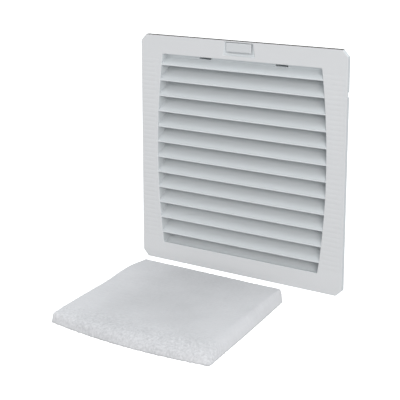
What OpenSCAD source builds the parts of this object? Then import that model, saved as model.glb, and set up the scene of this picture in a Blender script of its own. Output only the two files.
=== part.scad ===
// Cabinet filter fan: a louvred front cover on a base frame that snaps into a panel cut-out, with a
// filter tray and an axial fan behind it and its filter mat lying in front.
// X runs to the right, Y into the cabinet and Z up. The origin is the centre of the panel cut-out, on the
// outer face of the cabinet wall. All sizes are in millimetres.

/* [Front cover] */
// Width and height of the cover
front_size = 252; // [250:1:260]
// Cut at the cover's four corners
corner_cut = 7; // [4:0.5:9]
// Thickness of the cover's face
face_t = 2.2; // [2:0.1:3]
// Bevel round the front edge of the cover
edge_bevel = 0.8; // [0.4:0.1:1.2]
// Depth of the rim round the cover
rim_depth = 5; // [4:0.25:6]
// Thickness of the rim
rim_t = 2; // [1.4:0.1:2.4]
// Space between the cover's face and the base flange
cover_gap = 4; // [4:0.1:5]
// Height of the pry notch in the right-hand rim
notch_h = 5; // [3:0.5:8]
// Depth of the pry notch
notch_depth = 1.2; // [0.6:0.1:1.6]
// Pry notch below the top edge
notch_drop = 44.4; // [35:0.1:60]

/* [Louvre] */
// Distance from one slat to the next
slat_pitch = 17.1; // [15:0.1:19]
// Slope of the slats above the horizontal, in degrees
slat_angle = 40; // [35:1:45]
// Thickness of a slat
slat_t = 1.6; // [1.2:0.1:2]
// Front-to-back depth of a slat
slat_depth = 22; // [20:0.5:24]
// Height of the upright lip along the front of a slat
lip_h = 1.3; // [0.8:0.1:1.6]
// Setback of the lips behind the front face
lip_setback = 0.3; // [0.1:0.1:0.8]
// Drop from the top of the opening to the first lip
first_lip_drop = 12.3; // [10:0.1:14]
// How far the opening's sides bow outwards
side_bow = 7.4; // [4:0.2:10]
// Wall round the louvre
louvre_wall = 1.5; // [1.2:0.1:2]
// Distance between the two release slots in the top slat
slot_spacing = 94; // [80:1:110]
// Width of a release slot
slot_w = 15; // [10:0.5:18]
// Height of a release slot
slot_h = 2.7; // [1.5:0.1:3]
// How far below the opening's upper edge the top slat turns up
turn_drop = 4; // [3.5:0.1:5]
// Slope of the turned-up end of the top slat, in degrees
turn_angle = 85; // [75:1:88]

/* [Base frame] */
// How far the cover overlaps the panel cut-out on each side
front_lap = 14; // [13.5:0.1:16]
// Clearance between the tub and the cut-out
cutout_clear = 1.4; // [1:0.1:1.8]
// Wall of the tub
tub_wall = 1.8; // [1.5:0.1:2.2]
// Depth of the tub behind the cabinet wall
tub_depth = 16; // [15.5:0.1:17]
// Depth of the filter box behind the cabinet wall
box_depth = 34; // [33:0.5:40]
// Thickness of the rear walls of tub and filter box
rear_t = 2.2; // [1.8:0.1:2.4]
// How far the flange overlaps the cabinet wall
flange_lap = 7; // [6.5:0.1:8]
// Thickness of the flange
flange_t = 2.5; // [2.2:0.1:3]
// Thickness of the gasket when it is pressed down
gasket_t = 2.5; // [2:0.1:3]
// Width of the gasket
gasket_w = 6; // [5:0.1:6.4]
// Panel screw holes outside the edge of the cut-out
panel_screw_out = 3.2; // [2.8:0.1:3.5]
// Diameter of the panel screw holes
panel_screw_d = 4.2; // [3.2:0.1:4.4]

/* [Cover hinge and latch] */
// Diameter of the hinge pins
hinge_pin_d = 3; // [2:0.1:3.2]
// Wall round the hinge pins
hinge_wall = 1.4; // [1.2:0.1:1.5]
// Distance of each hinge from the middle
hinge_x = 80; // [60:1:90]
// Length of a hinge pin
hinge_pin_len = 22; // [18:0.5:26]
// Width of the release tab
tab_w = 30.4; // [26:0.2:34]
// Height of the release tab
tab_h = 9.4; // [8.6:0.1:10]
// How far the release tab stands proud of the face
tab_proud = 0.7; // [0.3:0.1:1.2]
// Travel of the release tab
tab_travel = 2.5; // [1.5:0.1:2.8]
// Depth of the recess round the release tab
recess_depth = 1.3; // [1:0.1:1.5]
// Wire of the latch springs
latch_wire_d = 0.4; // [0.3:0.05:0.5]
// Turns in a latch spring
latch_turns = 5; // [4:1:7]

/* [Filter] */
// Width of the filter mat
mat_w = 174; // [165:1:175]
// Length of the filter mat
mat_l = 173; // [165:1:175]
// Thickness of the filter mat
mat_t = 12.5; // [10:0.5:13]
// Distance of the loose mat in front of the cover
mat_gap = 43.8; // [40:0.2:60]
// Loose mat to the right of the middle
mat_aside = 8.1; // [0:0.1:20]
// Turn of the loose mat, in degrees
mat_turn = -0.9; // [-5:0.1:5]
// Lean of the loose mat's sides, in degrees
mat_skew = 9; // [0:0.5:10]
// Width of the filter tray inside
tray_size = 176; // [176:1:184]
// Wall of the filter tray
tray_wall = 1.8; // [1.4:0.1:2.2]
// Thickness of the support grid
grid_t = 2.5; // [2:0.1:3]
// Width of the grid's bars
grid_bar = 2; // [1.6:0.1:2.6]
// Cells of the grid along each side
grid_cells = 6; // [4:1:8]

/* [Fan] */
// Width of the fan housing across its flats
fan_flats = 150; // [149:0.5:152]
// How far the fan housing's flanges reach past the flats, above and below
fan_ear = 11; // [10:0.5:12.5]
// Depth of the fan housing
fan_depth = 38; // [38:0.5:42]
// Rim between the fan's throat and its flats
throat_rim = 5; // [5:0.1:7]
// Screw holes in from the edge of the fan's flanges
fan_screw_in = 5.5; // [5:0.1:6]
// Diameter of the fan's screws
fan_screw_d = 4; // [3.5:0.1:4.2]
// Gap between the blade tips and the throat
tip_gap = 2; // [1:0.1:3]
// Number of blades
blade_count = 7; // [5:1:9]
// Thickness of a blade
blade_t = 1.6; // [1.2:0.1:2.2]
// Diameter of the rotor cup
rotor_d = 72; // [70:0.5:74]
// Diameter of the motor shaft
shaft_d = 6; // [5:0.1:6.4]
// Outside diameter of the ball bearings
bearing_d = 17; // [15:0.1:18]
// Width of the ball bearings
bearing_w = 5; // [4:0.1:5.5]
// Wire of the finger guard
guard_wire_d = 2.5; // [2:0.1:3]
// Rings in the finger guard
guard_rings = 6; // [4:1:7]
// Poles of the terminal block
terminal_poles = 3; // [2:1:4]

/* [Hidden] */
$fn = 64;
slack = 0.3;        // clearance between parts that move past each other
seat_slack = 0.05;  // clearance of a screw or shaft in its hole
eps = 0.01;

// Depths along Y, from the front face back to the fan
y_flange_back = -gasket_t;
y_flange = y_flange_back - flange_t;
y_face_back = y_flange - cover_gap;
y_face = y_face_back - face_t;
y_rim_end = y_face + rim_depth;
y_lip = y_face + lip_setback;
y_louvre_end = y_lip + slat_depth;
y_step = tub_depth - rear_t;
y_rear_in = box_depth - rear_t;
y_grid = y_rear_in - grid_t;
y_fan_end = box_depth + fan_depth;

// Sizes in the plane of the panel
front_half = front_size / 2;
cutout = front_size - 2 * front_lap;
panel_screw_spacing = cutout + 2 * panel_screw_out;
tub_out = cutout / 2 - cutout_clear;
tub_in = tub_out - tub_wall;
flange_half = cutout / 2 + flange_lap;
gasket_in = flange_half - 0.8 - gasket_w;
tray_half = tray_size / 2;
floor_z = -front_half;

// Louvre opening: a rectangle whose sides are arcs that bow outwards
louvre_top_gap = 1.6;
louvre_side_gap = 2.6;
open_h = tub_in - louvre_top_gap - louvre_wall;
open_w = tub_in - louvre_side_gap - louvre_wall;
bow_r = (open_h * open_h + side_bow * side_bow) / (2 * side_bow);
bow_centre = bow_r - open_w;
sill_drop = 6.1;    // lip of the lowest slat below the opening
lip_span = 2 * open_h - first_lip_drop + sill_drop;
slat_count = round(lip_span / slat_pitch) + 1;
slat_step = lip_span / (slat_count - 1);
slat_rise = tan(slat_angle);
slat_upright_t = slat_t / cos(slat_angle);
sill_depth = sill_drop + 0.7;   // how far the lowest slat runs down behind the lower bar
turn_rise = tan(turn_angle);
turn_t = slat_t / sin(turn_angle);
y_turn = y_lip + (first_lip_drop - lip_h - turn_drop) / slat_rise;
slot_lintel = 0.5;              // what is left above a release slot

// Hinge axis, below the flange and behind the lower bar
hinge_r = hinge_pin_d / 2 + hinge_wall;
hinge_y = y_face_back + hinge_r + 0.4;
hinge_z = -(flange_half + 3.6);
ear_w = 4;
knuckle_w = hinge_pin_len - 2 - 2 * ear_w - 2 * slack;

// Release tab and its keeper, placed from the top edge of the flange
keeper_z = flange_half - 2;
keeper_depth = 1.6;
foot_z = keeper_z - 2.4;
foot_h = 2.1;
tab_top = flange_half + 4.6;
tab_bottom = tab_top - tab_h;
neck_w = 20;
neck_top = tab_top - 2.4;
neck_bottom = tab_bottom + tab_travel + 2 * slack;
recess_top = tab_top + 0.7;
recess_bottom = tab_bottom - tab_travel - 0.9;
recess_top_w = tab_w + 3.6;
recess_bottom_w = tab_w + 7.6;
y_recess = y_face + recess_depth;
y_latch_boss = y_face_back + 0.6;
spring_x = 7;
spring_r = 1.3;
spring_y = y_latch_boss + 1.4;
spring_ledge_z = foot_z - 5.1;
pocket_depth = 1.3;
y_pocket = y_flange + pocket_depth;

// Fan and motor
fan_half = fan_flats / 2 + fan_ear;
fan_screw_circle = 2 * (fan_half - fan_screw_in);
throat_r = fan_flats / 2 - throat_rim;
fan_flange_t = 4;
bell_r = 4;
barrel_r = throat_r + bell_r + 0.5;
rotor_r = rotor_d / 2;
rotor_wall = 2.5;
cage_t = 3.4;
motor_disc_t = 4;
y_motor_disc = y_fan_end - 0.5 - motor_disc_t;
bearing_tube_r = bearing_d / 2 + 3;
rotor_setback = 3.5;    // rotor behind the front of the fan
rotor_clear = 4;        // space between the rotor and the motor disc
bearing_setback = 5.5;  // front bearing behind the front of the rotor
bearing_web = 3;        // wall behind the rear bearing
stator_setback = 9;     // stator behind the front of the rotor
stator_clear = 2;       // space between the windings and the rotor's rear edge
air_gap = 0.6;          // space between the stator and the rotor cage
y_rotor = box_depth + rotor_setback;
y_rotor_end = y_motor_disc - rotor_clear;
y_bearing_front = y_rotor + bearing_setback;
y_bearing_rear = y_motor_disc - bearing_web - bearing_w;
stator_r = rotor_r - rotor_wall - cage_t - air_gap;
y_stator = y_rotor + stator_setback;
winding_len = 4;
winding_w = 0.24 * stator_r;
stator_len = y_rotor_end - stator_clear - winding_len - y_stator;
stator_slot_r = 0.068 * stator_r;
stator_slot_depth = 0.305 * stator_r;
hub_t = 2;
hub_r = rotor_r + hub_t;
tip_r = throat_r - tip_gap;
blade_front = y_rotor + 2;
blade_len = y_rotor_end - 1.5 - blade_front;
blade_bow_r = 46;
blade_reach = 26;
fan_screw_turn = 25;   // angle of the screw holes from the upright, in degrees

// Finger guard, in two layers of welded wire
wire_r = guard_wire_d / 2;
y_rings = y_fan_end + wire_r + seat_slack;
y_spokes = y_rings + 1.4 * wire_r;
loop_r = fan_screw_d / 2 + wire_r + 0.9;
screw_head_r = loop_r + 0.2;

// Retaining clips: spring strips that snap behind the cabinet wall
clip_t = 0.7;
clip_w = 20;
clip_reach = 3;
clip_places = [-60, 60];

// Terminal block beside the fan housing
terminal_pitch = 13;
terminal_x = fan_flats / 2 + 2;
terminal_w = 11.8;
terminal_depth = 18;
terminal_h = terminal_poles * terminal_pitch + 4;
terminal_well_d = 6;

// A flat outline in the plane of the panel, carried from one depth to another.
module along_y(from, to) {
    translate([0, to, 0]) rotate([90, 0, 0]) linear_extrude(to - from) children();
}

// A flat side profile of (depth, height) points, carried from left to right.
module along_x(from, to) {
    translate([from, 0, 0]) rotate([90, 0, 90]) linear_extrude(to - from) children();
}

// A round part on the fan's axis, from a half profile of (radius, depth) points.
module turned() {
    rotate([-90, 0, 0]) rotate_extrude($fn = 96) children();
}

// A round rod along Y.
module rod_y(radius, from, to) {
    translate([0, from, 0]) rotate([-90, 0, 0]) cylinder(r = radius, h = to - from);
}

// A ring round the fan's axis between two radii and two depths.
module ring_y(inner, outer, from, to) {
    turned() translate([inner, from]) square([outer - inner, to - from]);
}

// A square outline with its corners cut off.
module cut_square(half, cut) {
    polygon([
        [-half + cut, -half], [half - cut, -half], [half, -half + cut], [half, half - cut],
        [half - cut, half], [-half + cut, half], [-half, half - cut], [-half, -half + cut]
    ]);
}

// A square outline with rounded corners.
module round_square(half, radius) {
    square([2 * half, 2 * (half - radius)], center = true);
    square([2 * (half - radius), 2 * half], center = true);
    for (sx = [-1, 1], sz = [-1, 1])
        translate([sx * (half - radius), sz * (half - radius)]) circle(radius);
}

// An oblong outline with rounded corners.
module round_oblong(half_w, half_l, radius) {
    square([2 * half_w, 2 * (half_l - radius)], center = true);
    square([2 * (half_w - radius), 2 * half_l], center = true);
    for (sx = [-1, 1], sz = [-1, 1])
        translate([sx * (half_w - radius), sz * (half_l - radius)]) circle(radius, $fn = 24);
}

// The louvre opening, grown outwards by a margin.
module bowed_outline(grow, below, above) {
    intersection() {
        translate([bow_centre, 0]) circle(bow_r + grow, $fn = 256);
        translate([-bow_centre, 0]) circle(bow_r + grow, $fn = 256);
        translate([-tub_out, -below]) square([2 * tub_out, below + above]);
    }
}

// Places its children at the four corners of a square pattern.
module at_corners(spacing) {
    for (sx = [-1, 1], sz = [-1, 1])
        translate([sx * spacing / 2, 0, sz * spacing / 2]) children();
}

// Places its children at the fan's four screws.
module at_fan_screws() {
    for (base = [-90, 90], side = [-1, 1])
        rotate([0, base + side * fan_screw_turn, 0]) translate([fan_screw_circle / 2, 0, 0]) children();
}

// Places its children at the left and the right hinge.
module at_hinges() {
    for (side = [-1, 1]) translate([side * hinge_x, 0, 0]) children();
}

// One slat: an upright lip in front and a blade that rises to the rear.
module slat_profile(lip_z) {
    rear = y_lip + slat_depth;
    top = lip_z + lip_h;
    polygon([
        [y_lip, lip_z],
        [y_lip + (slat_upright_t - lip_h) / slat_rise, lip_z],
        [rear, top + slat_depth * slat_rise - slat_upright_t],
        [rear, top + slat_depth * slat_rise],
        [y_lip, top]
    ]);
}

// The top slat: it turns up steeply to the upper wall and so closes the louvre.
module top_slat_profile(lip_z) {
    top = lip_z + lip_h;
    turn_z = open_h - turn_drop;
    end_z = open_h + louvre_wall / 2;
    y_end = y_turn + (end_z - turn_z) / turn_rise;
    // where the underside meets the back of the turned-up end, behind the turn
    inner = (turn_t - slat_upright_t / turn_rise) / (1 - slat_rise / turn_rise);
    polygon([
        [y_lip, lip_z],
        [y_lip + (slat_upright_t - lip_h) / slat_rise, lip_z],
        [y_turn + inner, turn_z + inner * slat_rise - slat_upright_t],
        [y_end + turn_t, end_z],
        [y_end, end_z],
        [y_turn, turn_z],
        [y_lip, top]
    ]);
}

// All slats, trimmed to the louvre's outline.
module slats() {
    intersection() {
        union() {
            along_x(-tub_out, tub_out) top_slat_profile(open_h - first_lip_drop);
            for (i = [1 : slat_count - 1])
                along_x(-tub_out, tub_out) slat_profile(open_h - first_lip_drop - i * slat_step);
        }
        union() {
            along_y(y_face + eps, y_flange - slack)
                bowed_outline(louvre_wall / 2, open_h + sill_depth, open_h + eps);
            along_y(y_face_back, y_louvre_end)
                bowed_outline(louvre_wall / 2, open_h + louvre_wall, open_h + louvre_wall);
        }
    }
}

// The face of the cover with its rim and louvre opening.
module cover_face() {
    difference() {
        union() {
            hull() {
                along_y(y_face, y_face + eps) cut_square(front_half - edge_bevel, corner_cut);
                along_y(y_face + edge_bevel, y_face_back) cut_square(front_half, corner_cut);
            }
            along_y(y_face_back - eps, y_rim_end) difference() {
                cut_square(front_half, corner_cut);
                cut_square(front_half - rim_t, corner_cut - 0.8);
            }
        }
        along_y(y_face - 1, y_rim_end + 1) bowed_outline(0, open_h, open_h);
        // the rim is open where the base's hinge ears reach down
        at_hinges() translate([-hinge_pin_len / 2 - 1, y_face_back, -front_half - 1])
            cube([hinge_pin_len + 2, rim_depth, rim_t + 2]);
        translate([front_half - notch_depth, y_face + edge_bevel, front_half - notch_drop - notch_h / 2])
            cube([notch_depth + 1, rim_depth, notch_h]);
    }
}

// The walls round the louvre and the shelf that closes it at the top.
module louvre_box() {
    along_y(y_face_back - eps, y_louvre_end) difference() {
        bowed_outline(louvre_wall, open_h + louvre_wall, open_h + louvre_wall);
        bowed_outline(0, open_h + louvre_wall + 1, open_h);
    }
}

// The recess round the release tab, wider at its foot and at its mouth.
module latch_recess() {
    hull() for (level = [[y_face - eps, 0.9], [y_recess - eps, 0]])
        along_y(level[0], level[0] + eps) polygon([
            [-recess_bottom_w / 2 - level[1], recess_bottom - level[1]],
            [recess_bottom_w / 2 + level[1], recess_bottom - level[1]],
            [recess_top_w / 2 + level[1], recess_top],
            [-recess_top_w / 2 - level[1], recess_top]
        ]);
}

// The back of the upper bar: a boss behind the latch recess and a ledge under each latch spring.
module latch_boss() {
    boss_w = recess_bottom_w + 4;
    boss_bottom = open_h + louvre_wall;
    translate([-boss_w / 2, y_face_back - eps, boss_bottom])
        cube([boss_w, y_latch_boss - y_face_back + eps, front_half - rim_t - boss_bottom + eps]);
    for (side = [-1, 1])
        translate([side * spring_x - 2.5, y_latch_boss - eps, boss_bottom])
            cube([5, 2.8 + eps, spring_ledge_z - boss_bottom]);
}

// A hinge knuckle with the web that joins it to the back of the face.
module cover_knuckle() {
    along_x(-knuckle_w / 2, knuckle_w / 2) difference() {
        union() {
            translate([hinge_y, hinge_z]) circle(hinge_r);
            translate([y_face_back - eps, hinge_z - hinge_r]) square([hinge_y - y_face_back, 2 * hinge_r]);
        }
        translate([hinge_y, hinge_z]) circle(hinge_pin_d / 2 + seat_slack);
    }
}

// A post behind the face that seats on the flange.
module seat_post() {
    rod_y(2.5, y_face_back - eps, y_flange - slack);
}

module grille_cover() {
    post_place = flange_half - 3.6;
    post_out = flange_half / 2;
    color("#d3d5d7") difference() {
        union() {
            cover_face();
            louvre_box();
            slats();
            latch_boss();
            at_hinges() cover_knuckle();
            // posts that seat the cover on the flange
            for (side = [-1, 1]) {
                translate([side * post_out, 0, post_place]) seat_post();
                for (level = [-post_out, post_out]) translate([side * post_place, 0, level]) seat_post();
            }
        }
        latch_recess();
        translate([-neck_w / 2 - slack, y_face, neck_bottom - tab_travel - slack])
            cube([neck_w + 2 * slack, cover_gap, neck_top - neck_bottom + tab_travel + 2 * slack]);
        // slots through the turned-up end of the top slat
        for (side = [-1, 1])
            translate([side * slot_spacing / 2 - slot_w / 2, y_turn, open_h - slot_lintel - slot_h])
                cube([slot_w, first_lip_drop, slot_h]);
    }
}

module release_latch() {
    y_tab_back = y_recess - slack / 2;
    y_plate = y_latch_boss + slack;
    plate_t = 1.1;
    color("#d0d3d5") {
        // finger tab
        hull() {
            along_y(y_face - tab_proud, y_face - tab_proud + eps)
                translate([-tab_w / 2 + 0.6, tab_bottom + 0.6]) square([tab_w - 1.2, tab_h - 1.2]);
            along_y(y_face - tab_proud + 0.6, y_tab_back)
                translate([-tab_w / 2, tab_bottom]) square([tab_w, tab_h]);
        }
        // neck through the cover, and the plate that keeps it there
        translate([-neck_w / 2, y_tab_back - eps, neck_bottom])
            cube([neck_w, y_plate - y_tab_back + 2 * eps, neck_top - neck_bottom]);
        translate([-neck_w / 2 - 3, y_plate, foot_z]) cube([neck_w + 6, plate_t, neck_top + 0.6 - foot_z]);
        // foot with the nose that goes under the keeper
        translate([-neck_w / 2 + 1, y_plate, foot_z])
            cube([neck_w - 2, y_pocket - slack - y_plate, foot_h]);
    }
}

// Points on a circle across a helix, and the closed tube through them.
function helix_ring(i, sides, steps, radius, wire, rise, turns) =
    let (a = 360 * turns * i / steps)
    [for (k = [0 : sides - 1])
        let (b = 360 * k / sides, r = radius + wire * cos(b))
        [r * cos(a), r * sin(a), wire + (rise - 2 * wire) * i / steps + wire * sin(b)]];

module coil_spring(radius, wire, rise, turns) {
    sides = 6;
    steps = turns * 12;
    points = [for (i = [0 : steps], p = helix_ring(i, sides, steps, radius, wire, rise, turns)) p];
    faces = concat(
        [[for (k = [0 : sides - 1]) k]],
        [[for (k = [sides - 1 : -1 : 0]) steps * sides + k]],
        [for (i = [0 : steps - 1], k = [0 : sides - 1])
            let (a = i * sides, b = a + sides, next = (k + 1) % sides)
            [a + k, b + k, b + next, a + next]]
    );
    polyhedron(points, faces);
}

module latch_springs() {
    color("silver") for (side = [-1, 1])
        translate([side * spring_x, spring_y, spring_ledge_z + seat_slack])
            coil_spring(spring_r - latch_wire_d / 2, latch_wire_d / 2,
                foot_z - spring_ledge_z - 2 * seat_slack, latch_turns);
}

// The two ears of one hinge on the base, with their link up to the flange.
module base_ears() {
    for (side = [-1, 1])
        along_x(side * (hinge_pin_len / 2 - 1 - ear_w / 2) - ear_w / 2,
            side * (hinge_pin_len / 2 - 1 - ear_w / 2) + ear_w / 2)
            difference() {
                union() {
                    translate([hinge_y, hinge_z]) circle(hinge_r);
                    translate([hinge_y, hinge_z])
                        square([y_flange_back - hinge_y, 1 - flange_half - hinge_z]);
                }
                translate([hinge_y, hinge_z]) circle(hinge_pin_d / 2);
            }
}

module base_frame() {
    gusset_t = 1.6;
    gusset_root = tray_half + tray_wall;
    gusset_reach = tub_out - gusset_root - 4;
    color("#cfd1d3") difference() {
        union() {
            along_y(y_flange, y_flange_back) difference() {
                round_square(flange_half, 5);
                cut_square(tub_in, 2);
            }
            along_y(y_flange, tub_depth) difference() {
                cut_square(tub_out, 3);
                cut_square(tub_in, 2);
            }
            along_y(y_step, tub_depth) difference() {
                cut_square(tub_out, 3);
                square(2 * tray_half, center = true);
            }
            along_y(y_step, box_depth) difference() {
                cut_square(tray_half + tray_wall, 1);
                square(2 * tray_half, center = true);
            }
            along_y(y_rear_in, box_depth) cut_square(tray_half + tray_wall, 1);
            // gussets between the filter box and the tub's rear wall
            for (turn = [0 : 90 : 270], place = [-0.95, -0.32, 0.32, 0.95])
                rotate([0, turn, 0]) translate([0, 0, place * tray_half - gusset_t / 2])
                    linear_extrude(gusset_t) polygon([
                        [gusset_root - eps, tub_depth - eps], [gusset_root + gusset_reach, tub_depth - eps],
                        [gusset_root + gusset_reach, tub_depth + 1], [gusset_root - eps, box_depth - 3]
                    ]);
            at_hinges() base_ears();
            translate([-neck_w / 2 + 1, y_flange - keeper_depth, keeper_z])
                cube([neck_w - 2, keeper_depth + eps, flange_half - keeper_z]);
        }
        rod_y(throat_r + bell_r, y_rear_in - 1, box_depth + 1);
        at_corners(panel_screw_spacing) rod_y(panel_screw_d / 2, y_flange - 1, y_flange_back + 1);
        at_fan_screws() rod_y(fan_screw_d / 2 + seat_slack, y_rear_in - 1, box_depth + 1);
        // pocket for the nose of the latch
        translate([-neck_w / 2, y_flange - eps, foot_z - tab_travel - slack])
            cube([neck_w, pocket_depth + eps, keeper_z - foot_z + tab_travel + slack]);
    }
}

module sealing_gasket() {
    color("#5b5c5e") difference() {
        along_y(y_flange_back, 0) difference() {
            round_square(gasket_in + gasket_w, 4.2);
            cut_square(gasket_in, 1);
        }
        at_corners(panel_screw_spacing) rod_y(panel_screw_d / 2 + 0.8, y_flange_back - 1, 1);
    }
}

module hinge_pins() {
    color("silver") at_hinges() along_x(-hinge_pin_len / 2, hinge_pin_len / 2)
        translate([hinge_y, hinge_z]) circle(hinge_pin_d / 2);
}

// Side profile of one clip: a leg on the tub, a hook over its rear edge and a bulge behind the cabinet wall.
module clip_profile() {
    root = tub_out;
    peak = cutout / 2 + clip_reach;
    polygon([
        [root, 11.4], [root, tub_depth], [root - 6, tub_depth], [root - 6, tub_depth + clip_t],
        [root + clip_t, tub_depth + clip_t], [root + clip_t, 11.8], [peak, 5.4], [peak, 4.4],
        [root + clip_t, 2.2], [root, 2.6], [peak - clip_t, 4.8]
    ]);
}

module retaining_clips() {
    color("#9aa0a5") for (turn = [0 : 90 : 270], place = clip_places)
        rotate([0, turn, 0]) translate([0, 0, place - clip_w / 2]) linear_extrude(clip_w) clip_profile();
}

module filter_support_grid() {
    grid_half = tray_half - slack;
    border = 4;
    cell = (2 * (grid_half - border) - (grid_cells - 1) * grid_bar) / grid_cells;
    first = border - grid_half;
    step = cell + grid_bar;
    color("#c4c7c9") along_y(y_grid, y_rear_in) difference() {
        square(2 * grid_half, center = true);
        for (i = [0 : grid_cells - 1], k = [0 : grid_cells - 1])
            translate([first + i * step, first + k * step]) square(cell);
    }
}

// The loose mat: a slab of fleece with soft edges, lying on the surface that the cover stands on.
module filter_mat() {
    soft = 5;
    lean = [[1, -tan(mat_skew), 0, 0], [0, 1, 0, 0], [0, 0, 1, 0]];
    color("#cdced2") translate([mat_aside, y_face - mat_gap - mat_l / 2, floor_z])
        rotate([0, 0, mat_turn]) multmatrix(lean) hull() {
            for (level = [[0, 0.6], [0.3, 0], [0.75, 0.12], [1, 1]])
                translate([0, 0, level[0] * (mat_t - eps)]) linear_extrude(eps)
                    round_oblong(mat_w / 2 - level[1] * soft, mat_l / 2 - level[1] * soft, soft);
        }
}

// The outline of the fan housing's two flanges: a disc with a flat on the left and on the right.
module fan_plate() {
    intersection() {
        circle(fan_half, $fn = 128);
        square([fan_flats, 2 * fan_half + 2], center = true);
    }
}

// Half profile of the fan's throat, with a bell mouth at both ends.
module throat_profile() {
    difference() {
        translate([throat_r, box_depth]) square([barrel_r - throat_r, fan_depth]);
        for (end = [[box_depth, 1], [y_fan_end, -1]]) difference() {
            translate([throat_r - eps, end[0] + (end[1] > 0 ? -eps : -bell_r)])
                square([bell_r + eps, bell_r + eps]);
            translate([throat_r + bell_r, end[0] + end[1] * bell_r]) circle(bell_r);
        }
    }
}

module fan_housing() {
    strut_w = 8;
    color("#3b3d40") difference() {
        union() {
            turned() throat_profile();
            for (start = [box_depth, y_fan_end - fan_flange_t])
                along_y(start, start + fan_flange_t) difference() {
                    fan_plate();
                    circle(throat_r + bell_r - eps, $fn = 96);
                }
            rod_y(rotor_r - 1, y_motor_disc, y_motor_disc + motor_disc_t);
            rod_y(bearing_tube_r, y_bearing_front - 1, y_motor_disc + eps);
            // struts that carry the motor
            for (turn = [0 : 90 : 270])
                rotate([0, turn, 0]) translate([rotor_r - 4, y_motor_disc - 1, -strut_w / 2])
                    cube([throat_r + 2 - rotor_r + 4, motor_disc_t + 1, strut_w]);
        }
        rod_y(bearing_d / 2, y_bearing_front - 2, y_bearing_rear + bearing_w);
        rod_y(shaft_d / 2 + 1.6, y_bearing_rear, y_fan_end);
        at_fan_screws() rod_y(fan_screw_d / 2 + 0.25, box_depth - 1, y_fan_end + 1);
    }
}

module ball_bearing(from) {
    color("silver") ring_y(shaft_d / 2 + seat_slack, bearing_d / 2, from, from + bearing_w);
}

module front_bearing() {
    ball_bearing(y_bearing_front);
}

module rear_bearing() {
    ball_bearing(y_bearing_rear);
}

// Stator pack with slots for the windings.
module stator_core() {
    slots = 12;
    color("#8b9097") along_y(y_stator, y_stator + stator_len) difference() {
        circle(stator_r, $fn = 96);
        circle(bearing_tube_r + seat_slack, $fn = 96);
        for (i = [0 : slots - 1])
            rotate(i * 360 / slots) translate([stator_r - stator_slot_depth, 0]) {
                circle(stator_slot_r);
                translate([0, -stator_slot_r / 2]) square([stator_r / 2, stator_slot_r]);
            }
    }
}

// The two winding heads, one at each end of the stator pack.
module stator_windings() {
    color("#b06a35") for (from = [y_stator - winding_len, y_stator + stator_len])
        turned() translate([0.97 * stator_r - winding_w, from]) square([winding_w, winding_len]);
}

module motor_shaft() {
    color("silver") rod_y(shaft_d / 2, y_rotor - 2, y_bearing_rear + bearing_w + 3);
}

// External rotor: a steel cup, open to the rear, pressed on the shaft.
module rotor_cup() {
    bore = shaft_d / 2 + seat_slack;
    collar = bore + 3.5;
    boss = bore + 7;
    color("#6e7277") turned() polygon([
        [bore, y_rotor - 1.5], [boss, y_rotor - 1.5], [boss + 2, y_rotor], [rotor_r, y_rotor],
        [rotor_r, y_rotor_end], [rotor_r - rotor_wall, y_rotor_end],
        [rotor_r - rotor_wall, y_rotor + rotor_wall], [collar, y_rotor + rotor_wall],
        [collar, y_bearing_front - 0.5], [bore, y_bearing_front - 0.5]
    ]);
}

module rotor_cage() {
    color("#a7abb0")
        ring_y(rotor_r - rotor_wall - cage_t, rotor_r - rotor_wall, y_stator - 1, y_stator + stator_len + 1);
}

// One pressed blade: a strip of a cylinder wall, leaning across the air's way.
module blade() {
    middle = blade_front + blade_len / 2;
    intersection() {
        along_x(rotor_r, tip_r + 4) translate([middle + blade_bow_r * 0.72, -blade_bow_r * 0.69])
            difference() {
                circle(blade_bow_r + blade_t / 2, $fn = 128);
                circle(blade_bow_r - blade_t / 2, $fn = 128);
            }
        translate([0, blade_front, -blade_reach]) cube([tip_r + 4, blade_len, 2 * blade_reach]);
    }
}

module impeller() {
    color("#2f3134") {
        ring_y(rotor_r, hub_r, blade_front - 1, y_rotor_end - 0.5);
        intersection() {
            for (i = [0 : blade_count - 1]) rotate([0, i * 360 / blade_count, 0]) blade();
            ring_y(hub_r - hub_t / 2, tip_r, blade_front, blade_front + blade_len);
        }
    }
}

module shaft_circlip() {
    from = y_bearing_rear + bearing_w + 0.4;
    color("#54585c") ring_y(shaft_d / 2, shaft_d / 2 + 1.2, from, from + 0.8);
}

// Welded wire guard: rings, and spokes that end in a loop round each screw.
module finger_guard() {
    inner = 16;
    outer = throat_r + 0.5;
    ring_step = (outer - inner) / (guard_rings - 1);
    color("#b9bdc1") {
        for (i = [0 : guard_rings - 1])
            turned() translate([inner + i * ring_step, y_rings]) circle(wire_r, $fn = 24);
        at_fan_screws() turned() translate([loop_r, y_rings]) circle(wire_r, $fn = 24);
        // each spoke stops short of the screw's head
        at_fan_screws() translate([inner - 2 - fan_screw_circle / 2, y_spokes, 0]) rotate([0, 90, 0])
            cylinder(r = wire_r, h = fan_screw_circle / 2 - screw_head_r - slack - inner + 2);
    }
}

// Long screws through the guard and both fan flanges into the tub's rear wall.
module fan_screws() {
    y_head = y_rings + wire_r + seat_slack;
    color("silver") at_fan_screws() difference() {
        union() {
            rod_y(fan_screw_d / 2, y_rear_in + 0.2, y_head + eps);
            rod_y(screw_head_r, y_head, y_head + 2.8);
        }
        // cross recess
        for (turn = [0, 90]) rotate([0, turn, 0]) translate([-screw_head_r / 2, y_head + 1.2, -0.5])
            cube([screw_head_r, 2, 1]);
    }
}

// Places its children at each pole of the terminal block.
module at_poles() {
    first = -(terminal_poles - 1) / 2 * terminal_pitch;
    for (i = [0 : terminal_poles - 1])
        translate([terminal_x + terminal_w / 2, 0, first + i * terminal_pitch]) children();
}

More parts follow.
